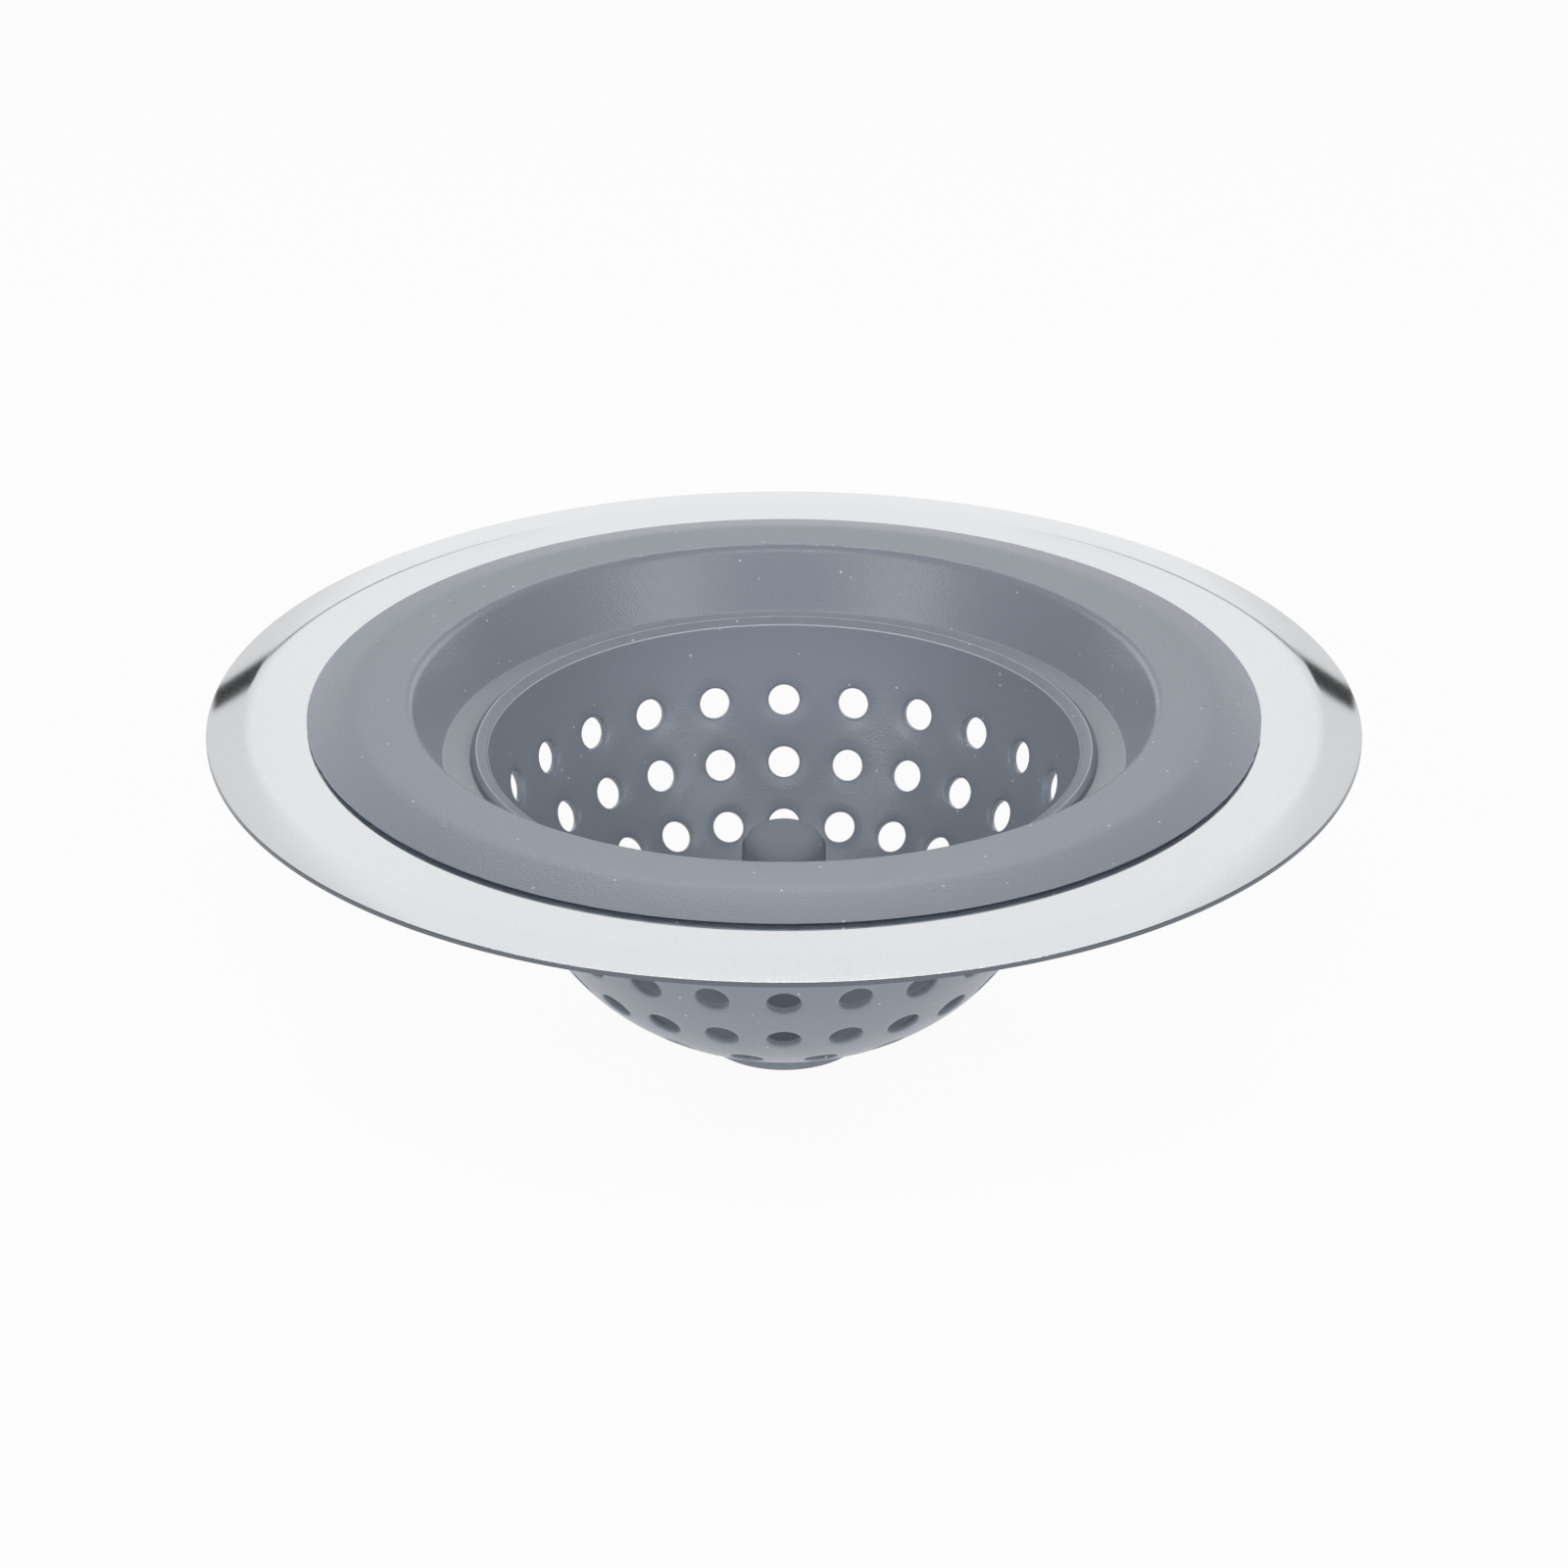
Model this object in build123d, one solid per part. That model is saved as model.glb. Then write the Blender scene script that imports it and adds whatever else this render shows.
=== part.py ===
from build123d import *
import os
from math import acos, asin, cos, pi, radians, sin, tan

# Sink strainer: a moulded silicone basket that grips the inner edge of a pressed steel ring.
# Lengths are in millimetres. Radii are measured from the strainer's upright axis and heights
# from the underside of its foot, so it stands on the origin with +Z up.

# Grip peg that rises from the cup's floor
peg_height = 20.6
peg_top_radius = 4.0
peg_base_radius = 4.3
peg_flare = 0.5
peg_round = 1.2

# Perforated cup, from its floor outwards and upwards. Angles are in degrees off upright.
cup_wall = 1.2
lower_bowl_radius = 21.1
upper_bowl_radius = 45.7
bowl_turn_angle = 32.2
mouth_draft_angle = 5.0

# Rounded bead round the cup's mouth
bead_width = 1.8
bead_height = 0.85
bead_lean = 0.2
bead_round = 0.55
bead_inner_step = 0.33

# Strainer holes, in rows along the wall from the mouth downwards
hole_radius = 1.65
first_row_distance = 8.3
row_pitch = 6.65
row_hole_counts = (24, 24, 24, 16)
row_turn_shares = (0, 0, 0, 0.5)
cut_overrun = 1.0

# Foot disc under the cup
foot_radius = 8.5
foot_thickness = 1.3
foot_round = 0.3

# Fold web, the thin step between collar and cup, which folds over as the cup is pushed up
web_thickness = 1.4
web_drop = 2.9
ledge_width = 2.75
ledge_round = 0.5
fold_clearance = 0.15

# Collar: the thick flange, the groove for the steel and the lip that goes into the drain. Its
# throat and the web under it are one cone, whose wall leans this many degrees off upright.
throat_draft_angle = 24.6
throat_depth = 1.45
throat_round = 1.2
crown_width = 5.84
crown_round = 6.0
shoulder_width = 4.4
flange_rise = 1.5
flange_edge = 0.35
flange_round = 0.15
collar_wall = 5.72
groove_clearance = 0.2
lip_width = 2.3
lip_root_width = 1.9
lip_thickness = 2.2
lip_round = 0.4

# Steel rim, pressed from sheet, with its outer band turned down a little
rim_width = 15.69
rim_sheet = 0.5
rim_band_width = 3.8
rim_band_drop = 0.25
rim_bend = 1.5
rim_edge_round = 0.12

# The cup's wall is two arcs in line, a tight one up from the floor and a slack one to the mouth
turn = radians(bowl_turn_angle)
draft = radians(mouth_draft_angle)
flat = pi / 2
floor_height = foot_thickness + cup_wall
floor_flat_radius = peg_base_radius + peg_flare
lower_centre = (floor_flat_radius, floor_height + lower_bowl_radius)
centre_shift = upper_bowl_radius - lower_bowl_radius
upper_centre = (
    lower_centre[0] - centre_shift * cos(turn),
    lower_centre[1] + centre_shift * sin(turn),
)
upper_wall_length = upper_bowl_radius * (turn - draft)
outer_upper_radius = upper_bowl_radius + cup_wall
outer_lower_radius = lower_bowl_radius + cup_wall


def wall_point(angle, outwards=0):
    # Radius and height where the wall leans by angle off upright, outwards from its inner face
    centre, arc_radius = lower_centre, lower_bowl_radius
    if angle < turn:
        centre, arc_radius = upper_centre, upper_bowl_radius
    reach = arc_radius + outwards
    return (centre[0] + reach * cos(angle), centre[1] - reach * sin(angle))


def wall_arc(start_angle, end_angle, outwards=0):
    # Stretch of the wall's section that stays on one of its two arcs
    middle_angle = (start_angle + end_angle) / 2
    angles = (start_angle, middle_angle, end_angle)
    return ThreePointArc(*[wall_point(angle, outwards) for angle in angles])


def angle_along_wall(distance):
    # Lean of the wall at a distance from the mouth, measured along its inner face
    if distance < upper_wall_length:
        return draft + distance / upper_bowl_radius
    return turn + (distance - upper_wall_length) / lower_bowl_radius


# Each piece starts from the edge of the one inside it, outwards from the cup's mouth
mouth_radius, mouth_height = wall_point(draft)
ledge_height = mouth_height - bead_inner_step
bead_outer_radius = mouth_radius + bead_width
web_inner_radius = bead_outer_radius + fold_clearance
ledge_outer_radius = bead_outer_radius + ledge_width
throat_draft = radians(throat_draft_angle)
throat_radius = ledge_outer_radius + web_drop * tan(throat_draft)
throat_bottom = ledge_height + web_drop
web_across = web_thickness / cos(throat_draft)
steel_underside = throat_bottom + throat_depth
steel_top = steel_underside + rim_sheet
flange_top = steel_top + flange_rise
groove_radius = throat_radius + collar_wall
rim_hole_radius = groove_radius + groove_clearance
rim_radius = rim_hole_radius + rim_width
lip_radius = rim_hole_radius + lip_width
lip_root_radius = groove_radius - lip_root_width
lip_bottom = steel_underside - lip_thickness
throat_top_radius = throat_radius + (flange_top - throat_bottom) * tan(throat_draft)
crown_radius = throat_top_radius + crown_width
flange_radius = crown_radius + shoulder_width
fold_travel = 2 * web_drop


def turned(outline):
    # Solid swept round the axis by a closed section drawn in radius and height
    return revolve(Plane.XZ * make_face(outline), axis=Axis.Z)


def steel_rim():
    band_radius = rim_radius - rim_band_width
    section = FilletPolyline(
        (rim_hole_radius, steel_top),
        (band_radius, steel_top),
        (rim_radius, steel_top - rim_band_drop),
        (rim_radius, steel_underside - rim_band_drop),
        (band_radius, steel_underside),
        (rim_hole_radius, steel_underside),
        radius=(0, rim_bend + rim_sheet, rim_edge_round, rim_edge_round, rim_bend, 0),
        close=True,
    )
    return turned(section)


def basket_collar():
    section = FilletPolyline(
        (throat_radius, throat_bottom),
        (throat_top_radius, flange_top),
        (crown_radius, flange_top),
        (flange_radius, steel_top + flange_edge),
        (flange_radius, steel_top),
        (groove_radius, steel_top),
        (groove_radius, steel_underside),
        (lip_radius, steel_underside),
        (lip_radius, lip_bottom),
        (lip_root_radius, lip_bottom),
        (lip_root_radius, throat_bottom),
        radius=(0, throat_round, crown_round, flange_round, 0, 0, 0, 0, lip_round, lip_round, 0),
        close=True,
    )
    return turned(section)


def fold_web():
    outer_ledge_radius = ledge_outer_radius + web_across - web_thickness * tan(throat_draft)
    section = FilletPolyline(
        (throat_radius, throat_bottom),
        (ledge_outer_radius, ledge_height),
        (web_inner_radius, ledge_height),
        (web_inner_radius, ledge_height - web_thickness),
        (outer_ledge_radius, ledge_height - web_thickness),
        (throat_radius + web_across, throat_bottom),
        radius=(0, ledge_round, 0, 0, ledge_round + web_thickness, 0),
        close=True,
    )
    return turned(section)


def cup_section():
    shelf_height = ledge_height - web_thickness
    shelf_angle = asin((upper_centre[1] - shelf_height) / outer_upper_radius)
    bead = FilletPolyline(
        (bead_outer_radius, shelf_height),
        (bead_outer_radius, ledge_height),
        (bead_outer_radius - bead_lean, ledge_height + bead_height),
        (mouth_radius, mouth_height),
        radius=(0, bead_round),
    )
    inner_face = wall_arc(draft, turn) + wall_arc(turn, flat)
    floor = Polyline(
        wall_point(flat),
        (0, floor_height),
        (0, foot_thickness),
        wall_point(flat, cup_wall),
    )
    outer_face = wall_arc(flat, turn, cup_wall) + wall_arc(turn, shelf_angle, cup_wall)
    shelf = Line(wall_point(shelf_angle, cup_wall), (bead_outer_radius, shelf_height))
    return bead + inner_face + floor + outer_face + shelf


def hole_cutters():
    # Cylinders square to the wall, the same number of degrees apart in each row
    cutters = []
    for row, (count, turn_share) in enumerate(zip(row_hole_counts, row_turn_shares)):
        angle = angle_along_wall(first_row_distance + row * row_pitch)
        radius, height = wall_point(angle, cup_wall / 2)
        seat = Plane((0, radius, height), x_dir=(1, 0, 0), z_dir=(0, cos(angle), -sin(angle)))
        cutter = seat * Cylinder(hole_radius, cup_wall + 2 * cut_overrun)
        for copy in range(count):
            cutters.append(Rot(Z=(copy + turn_share) * 360 / count) * cutter)
    return cutters


def strainer_cup():
    return turned(cup_section()) - hole_cutters()


def grip_peg():
    top_height = floor_height + peg_height
    side = FilletPolyline(
        (0, floor_height),
        (floor_flat_radius, floor_height),
        (peg_base_radius, floor_height + peg_flare),
        (peg_top_radius, top_height),
        (0, top_height),
        radius=(0, peg_flare, peg_round),
    )
    return turned(side + Line((0, top_height), (0, floor_height)))


def foot_disc():
    edge_angle = acos((foot_radius - floor_flat_radius) / outer_lower_radius)
    side = FilletPolyline(
        (0, 0),
        (foot_radius, 0),
        wall_point(edge_angle, cup_wall),
        radius=(foot_round,),
    )
    seat = wall_arc(edge_angle, flat, cup_wall)
    middle = Polyline(wall_point(flat, cup_wall), (0, foot_thickness), (0, 0))
    return turned(side + seat + middle)


pieces = {
    "steel_rim": steel_rim,
    "basket_collar": basket_collar,
    "fold_web": fold_web,
    "strainer_cup": strainer_cup,
    "grip_peg": grip_peg,
    "foot_disc": foot_disc,
}

os.makedirs("parts", exist_ok=True)
for name, make_piece in pieces.items():
    export_step(make_piece(), f"parts/{name}.step")

print(f"mouth radius {mouth_radius:.2f}, throat radius {throat_radius:.2f} to {throat_top_radius:.2f}")
print(f"flange radius {flange_radius:.2f}, ring {rim_hole_radius:.3f} to {rim_radius:.3f}")
print(f"drain lip radius {lip_radius:.4f}, from {lip_bottom + lip_round:.3f} to {steel_underside:.3f}")
print(f"steel underside {steel_underside:.2f}, flange top {flange_top:.2f}")
print(f"floor {floor_height:.2f}, peg top {floor_height + peg_height:.2f}")
print(f"throat bottom {throat_bottom:.2f}, ledge {ledge_height:.2f}, fold travel {fold_travel:.2f}")
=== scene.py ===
import math
import random

import bmesh
import bpy
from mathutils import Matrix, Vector


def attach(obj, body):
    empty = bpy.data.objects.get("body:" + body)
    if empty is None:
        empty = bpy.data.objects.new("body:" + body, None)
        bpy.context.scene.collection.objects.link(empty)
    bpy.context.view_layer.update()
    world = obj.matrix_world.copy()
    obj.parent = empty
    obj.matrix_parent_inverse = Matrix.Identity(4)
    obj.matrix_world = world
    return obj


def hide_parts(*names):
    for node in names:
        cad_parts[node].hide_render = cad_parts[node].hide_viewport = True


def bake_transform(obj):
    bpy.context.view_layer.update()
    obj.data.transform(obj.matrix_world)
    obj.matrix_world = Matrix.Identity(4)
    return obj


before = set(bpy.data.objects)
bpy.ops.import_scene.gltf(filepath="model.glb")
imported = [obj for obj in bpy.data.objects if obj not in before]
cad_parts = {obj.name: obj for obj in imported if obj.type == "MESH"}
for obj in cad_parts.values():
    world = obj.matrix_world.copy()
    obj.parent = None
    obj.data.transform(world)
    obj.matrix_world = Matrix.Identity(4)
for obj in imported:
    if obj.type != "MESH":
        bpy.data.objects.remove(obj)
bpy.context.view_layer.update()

mm = 0.001  # the sizes below are in millimetres, Blender's are in metres
scene = bpy.context.scene


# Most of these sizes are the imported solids' own. The cup's differ a little: its wall thins
# downwards and its floor is higher, so that the foot shows under it.
cupSizes = {
    "wall": 1.25,
    "thinWall": 0.8,
    "thinFrom": 8.0,  # distances down from the mouth
    "thinTo": 28.0,
    "lowerBowlRadius": 21.393,
    "upperBowlRadius": 44.047,
    "turnAngle": 32.2,
    "draftAngle": 5.0,
    "floorHeight": 3.1,
    "floorFlatRadius": 4.8,
    "footRadius": 8.5,
    "footRound": 0.3,
    "footFillet": 0.35,
    "beadWidth": 1.8,
    "beadHeight": 0.85,
    "crestInset": 0.62,
    "beadLean": 0.1,
    "beadRound": 0.3,
    "beadInnerStep": 0.33,
    "shoulderDrop": 0.35,
    "shelfWidth": 2.2,  # from the bead's outside in to the wall
    "ridgeHeight": 0.12,  # the two fine ridges that the mould leaves on the bead
    "ridgeWidth": 0.14,
    "ridgeRound": 0.03,
    "crestDrop": 0.08,
    "crestFillet": 0.2,
}
webSizes = {
    "thickness": 1.4,
    "drop": 2.9,
    "ledgeWidth": 2.75,
    "ledgeRound": 0.15,
    "sectors": 24,
    "bendStep": 0.3,
}
collarSizes = {
    "draftAngle": 24.6,
    "throatDepth": 1.45,
    "throatRound": 1.2,
    "crownWidth": 5.84,
    "crownRound": 6.0,
    "shoulderWidth": 4.4,
    "rise": 1.5,
    "edge": 0.42,
    "edgeRound": 0.08,
    "gapHeight": 0.32,
    "gapDepth": 0.8,
    "raggedness": 0.09,
    "wall": 5.72,
    "lipWidth": 2.3,
    "lipRootWidth": 1.9,
    "lipThickness": 2.2,
    "lipRound": 0.4,
}
ringSizes = {
    "holeClearance": 0.2,
    "width": 15.69,
    "sheet": 0.5,
    "bandWidth": 3.8,
    "bandDrop": 0.25,
    "bend": 20.0,
    "edgeRound": 0.06,
}
turnSteps = 288  # faces round the whole strainer, 12 to each of the 24 columns of holes


def roundedLine(corners, stepDegrees=9):
    # An outline in radius and height, from corners that are (radius, height, fillet). A fillet
    # becomes an arc of short steps.
    line = []
    for index, (radius, height, fillet) in enumerate(corners):
        here = Vector((radius, height))
        if fillet == 0:
            line.append(here)
            continue
        before = (Vector(corners[index - 1][:2]) - here).normalized()
        after = (Vector(corners[index + 1][:2]) - here).normalized()
        half = before.angle(after) / 2
        centre = here + (before + after).normalized() * fillet / math.sin(half)
        start = here + before * fillet / math.tan(half) - centre
        end = here + after * fillet / math.tan(half) - centre
        turn = start.angle(end)
        steps = max(2, math.ceil(math.degrees(turn) / stepDegrees))
        for step in range(steps + 1):
            share = step / steps
            spoke = start * math.sin((1 - share) * turn) + end * math.sin(share * turn)
            line.append(centre + spoke / math.sin(turn))
    return line


turnLean = math.radians(cupSizes["turnAngle"])  # leans of the cup's wall, off upright
mouthLean = math.radians(cupSizes["draftAngle"])
floorLean = math.pi / 2
lowerRadius, upperRadius = cupSizes["lowerBowlRadius"], cupSizes["upperBowlRadius"]
lowerCentre = Vector((cupSizes["floorFlatRadius"], cupSizes["floorHeight"] + lowerRadius))
turnSpoke = Vector((math.cos(turnLean), -math.sin(turnLean)))
upperCentre = lowerCentre - (upperRadius - lowerRadius) * turnSpoke
upperLength = upperRadius * (turnLean - mouthLean)


def wallAt(distance, outwards=0.0):
    # Point of the cup's wall at a distance down from the mouth, outwards from its inner face
    if distance < upperLength:
        centre, radius = upperCentre, upperRadius
        lean = mouthLean + distance / upperRadius
    else:
        centre, radius = lowerCentre, lowerRadius
        lean = turnLean + (distance - upperLength) / lowerRadius
    return centre + (radius + outwards) * Vector((math.cos(lean), -math.sin(lean)))


def wallShare(distance):
    # Share of its full thickness that the wall has at a distance from the mouth
    share = (distance - cupSizes["thinFrom"]) / (cupSizes["thinTo"] - cupSizes["thinFrom"])
    share = min(max(share, 0.0), 1.0)
    return 1 - share * (1 - cupSizes["thinWall"] / cupSizes["wall"])


def wallLine(start, end, outwards=0.0, step=0.8):
    # Stretch of the wall between two distances from the mouth
    steps = max(2, math.ceil(abs(end - start) / step))
    distances = [start + (end - start) * i / steps for i in range(steps + 1)]
    return [wallAt(distance, outwards * wallShare(distance)) for distance in distances]


def wallDistance(radius, height):
    # The opposite of wallAt: distance down from the mouth and depth outwards of a point
    away = Vector((radius, height)) - upperCentre
    lean = math.atan2(-away.y, away.x)
    if lean < turnLean:
        return upperRadius * (lean - mouthLean), away.length - upperRadius
    away = Vector((radius, height)) - lowerCentre
    lean = math.atan2(-away.y, away.x)
    return upperLength + lowerRadius * (lean - turnLean), away.length - lowerRadius


mouth = wallAt(0)
wallLength = upperLength + lowerRadius * (floorLean - turnLean)
ledgeHeight = mouth.y - cupSizes["beadInnerStep"]
beadRadius = mouth.x + cupSizes["beadWidth"]
crestRadius = beadRadius - cupSizes["crestInset"]
shelfHeight = ledgeHeight - webSizes["thickness"]
ledgeRadius = beadRadius + webSizes["ledgeWidth"]
throatLean = math.tan(math.radians(collarSizes["draftAngle"]))
throatRadius = ledgeRadius + webSizes["drop"] * throatLean
throatBottom = ledgeHeight + webSizes["drop"]
webAcross = webSizes["thickness"] / math.cos(math.radians(collarSizes["draftAngle"]))
steelUnderside = throatBottom + collarSizes["throatDepth"]
steelTop = steelUnderside + ringSizes["sheet"]
flangeTop = steelTop + collarSizes["rise"]
grooveRadius = throatRadius + collarSizes["wall"]
holeRadius = grooveRadius + ringSizes["holeClearance"]
ringRadius = holeRadius + ringSizes["width"]


def addNode(tree, kind, settings=None, sockets=None):
    # Adds a node; a socket takes a value, or a link from another node's socket
    node = tree.nodes.new(kind)
    for name, value in (settings or {}).items():
        setattr(node, name, value)
    for name, value in (sockets or {}).items():
        if isinstance(value, bpy.types.NodeSocket):
            tree.links.new(value, node.inputs[name])
        else:
            node.inputs[name].default_value = value
    return node


def addMath(tree, operation, first, second=0.0):
    node = addNode(tree, "ShaderNodeMath", {"operation": operation}, {0: first, 1: second})
    return node.outputs[0]


def makeTurnedCopies():
    # The sheet's X is the angle about the axis, its Y the distance along the outline and its Z
    # the depth outwards from it. The wrapped sheet is then copied evenly round the axis.
    tree = bpy.data.node_groups.new("turnedCopies", "GeometryNodeTree")
    tree.is_modifier = True
    inputs = {
        "Sheet": "NodeSocketGeometry",
        "Outline": "NodeSocketObject",
        "Copies": "NodeSocketInt",
        "Turn Share": "NodeSocketFloat",
        "Distance": "NodeSocketFloat",
        "Weld Distance": "NodeSocketFloat",
        "Material": "NodeSocketMaterial",
    }
    for name, kind in inputs.items():
        tree.interface.new_socket(name=name, in_out="INPUT", socket_type=kind)
    tree.interface.new_socket(name="Turned", in_out="OUTPUT", socket_type="NodeSocketGeometry")
    given = addNode(tree, "NodeGroupInput").outputs

    position = addNode(tree, "GeometryNodeInputPosition").outputs[0]
    sheet = addNode(tree, "ShaderNodeSeparateXYZ", sockets={0: position}).outputs
    outline = addNode(tree, "GeometryNodeObjectInfo", sockets={"Object": given["Outline"]})
    sample = addNode(tree, "GeometryNodeSampleCurve", {"mode": "LENGTH"}, {
        "Curves": outline.outputs["Geometry"],
        "Length": addMath(tree, "ADD", sheet["Y"], given["Distance"]),
    }).outputs
    point = addNode(tree, "ShaderNodeSeparateXYZ", sockets={0: sample["Position"]}).outputs
    along = addNode(tree, "ShaderNodeSeparateXYZ", sockets={0: sample["Tangent"]}).outputs
    inwards = addMath(tree, "MULTIPLY", sheet["Z"], along["Z"])
    upwards = addMath(tree, "MULTIPLY", sheet["Z"], along["X"])
    radius = addMath(tree, "SUBTRACT", point["X"], inwards)
    height = addMath(tree, "ADD", point["Z"], upwards)
    across = addMath(tree, "MULTIPLY", radius, addMath(tree, "SINE", sheet["X"]))
    place = addNode(tree, "ShaderNodeCombineXYZ", sockets={
        "X": addMath(tree, "MULTIPLY", across, -1.0),
        "Y": addMath(tree, "MULTIPLY", radius, addMath(tree, "COSINE", sheet["X"])),
        "Z": height,
    }).outputs[0]
    wrapped = addNode(tree, "GeometryNodeSetPosition", sockets={
        "Geometry": given["Sheet"], "Position": place,
    }).outputs[0]

    points = addNode(tree, "GeometryNodePoints", sockets={"Count": given["Copies"]}).outputs[0]
    index = addNode(tree, "GeometryNodeInputIndex").outputs[0]
    shifted = addMath(tree, "ADD", index, given["Turn Share"])
    share = addMath(tree, "DIVIDE", shifted, given["Copies"])
    rotation = addNode(tree, "FunctionNodeAxisAngleToRotation", sockets={
        "Axis": (0, 0, 1), "Angle": addMath(tree, "MULTIPLY", share, 2 * math.pi),
    }).outputs[0]
    copies = addNode(tree, "GeometryNodeInstanceOnPoints", sockets={
        "Points": points, "Instance": wrapped, "Rotation": rotation,
    }).outputs[0]
    realized = addNode(tree, "GeometryNodeRealizeInstances", sockets={0: copies}).outputs[0]
    welded = addNode(tree, "GeometryNodeMergeByDistance", sockets={
        "Geometry": realized, "Distance": given["Weld Distance"],
    }).outputs[0]
    finished = addNode(tree, "GeometryNodeSetMaterial", sockets={
        "Geometry": welded, "Material": given["Material"],
    }).outputs[0]
    addNode(tree, "NodeGroupOutput", sockets={0: finished})
    return tree


turnedCopies = makeTurnedCopies()
socketIds = {item.name: item.identifier for item in turnedCopies.interface.items_tree}
weldDistance = 0.004 * mm


def makeOutline(points):
    # An outline is a curve in the XZ plane, with the radius along X
    curve = bpy.data.curves.new("outline", "CURVE")
    curve.dimensions = "3D"
    spline = curve.splines.new("POLY")
    spline.points.add(len(points) - 1)
    for control, (radius, height) in zip(spline.points, points):
        control.co = (radius * mm, 0, height * mm, 1)
    outline = bpy.data.objects.new("outline", curve)
    scene.collection.objects.link(outline)
    return outline


def turnSheet(vertices, faces, outlinePoints, copies, material, turnShare=0.0, distance=0.0):
    # Runs the node tree on a sheet and returns the mesh that comes out
    mesh = bpy.data.meshes.new("sheet")
    mesh.from_pydata(vertices, [], faces)
    mesh.materials.append(material)
    holder = bpy.data.objects.new("sheet", mesh)
    scene.collection.objects.link(holder)
    outline = makeOutline(outlinePoints)
    modifier = holder.modifiers.new("turnedCopies", "NODES")
    modifier.node_group = turnedCopies
    values = {
        "Outline": outline,
        "Copies": copies,
        "Turn Share": turnShare,
        "Distance": distance * mm,
        "Weld Distance": weldDistance,
        "Material": material,
    }
    for name, value in values.items():
        modifier[socketIds[name]] = value
    bpy.context.view_layer.update()
    evaluated = holder.evaluated_get(bpy.context.evaluated_depsgraph_get())
    turned = bpy.data.meshes.new_from_object(evaluated)
    bpy.data.objects.remove(holder)
    bpy.data.objects.remove(outline)
    return turned


def turnOutline(points, material):
    # A plain turned skin: one narrow strip, copied all the way round
    distances = [0.0]
    for before, after in zip(points, points[1:]):
        distances.append(distances[-1] + (after - before).length * mm)
    step = 2 * math.pi / turnSteps
    vertices = [(angle, distance, 0) for angle in (0, step) for distance in distances]
    count = len(distances)
    faces = [(i, i + 1, count + i + 1, count + i) for i in range(count - 1)]
    return turnSheet(vertices, faces, points, turnSteps, material)


def weldPiece(name, meshes, sharpDegrees=35):
    # Joins meshes into one closed piece, with its faces outwards and its sharp corners marked
    joined = bmesh.new()
    for mesh in meshes:
        joined.from_mesh(mesh)
    bmesh.ops.remove_doubles(joined, verts=joined.verts, dist=weldDistance)
    bmesh.ops.recalc_face_normals(joined, faces=joined.faces)
    openEdges = [edge for edge in joined.edges if not edge.is_manifold]
    print(name, "faces", len(joined.faces), "open edges", len(openEdges))
    result = bpy.data.meshes.new(name)
    joined.to_mesh(result)
    joined.free()
    result.materials.append(meshes[0].materials[0])
    result.shade_smooth()
    result.set_sharp_from_angle(angle=math.radians(sharpDegrees))
    piece = bpy.data.objects.new(name, result)
    scene.collection.objects.link(piece)
    return piece


def colour(hexCode):
    # An sRGB hex value, turned to linear
    values = [int(hexCode[i:i + 2], 16) / 255 for i in (1, 3, 5)]
    linear = [v / 12.92 if v <= 0.04045 else ((v + 0.055) / 1.055) ** 2.4 for v in values]
    return (*linear, 1.0)


siliconeLook = {
    "colour": "#8A919C",
    # pale colour of the dust specks and lint, used also for the painted highlight lines on the
    # bead
    "dustAndHighlight": "#C9CED3",
    "roughness": 0.28,
    "ior": 1.41,
    "specular": 0.5,
    "grainSize": 0.24,  # a fine blast leaves about 0.05 mm, drawn coarser so that it shows
    "grainDepth": 0.05,
    "dustSpacing": 2.1,
    "dustRadius": 0.14,
    "dustBare": 0.2,  # share of the cells that have no speck
    # share of the pale colour in the specks, the lint and the painted highlight lines
    "dustAndHighlightCover": 0.85,
    "lintSpacing": 6.0,
    "lintRadius": 0.08,
    "lintStretch": 9.0,
    # width of the painted highlight lines on the bead's two ridges
    "ridgeWidth": 0.12,
    "ridgeFrom": 0.3,  # height above the ledge
    # painted light: the paler colour that lightens the shaded ledge
    "paintedLedgeLight": "#B4BAC2",
    "paintedLedgeLightRadii": (31.34, 34.06),
    "paintedLedgeLightCover": 0.6,
    "dullRadius": 5.0,
    "dullRoughness": 0.6,
    "dullSpecular": 0.2,
}


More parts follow.
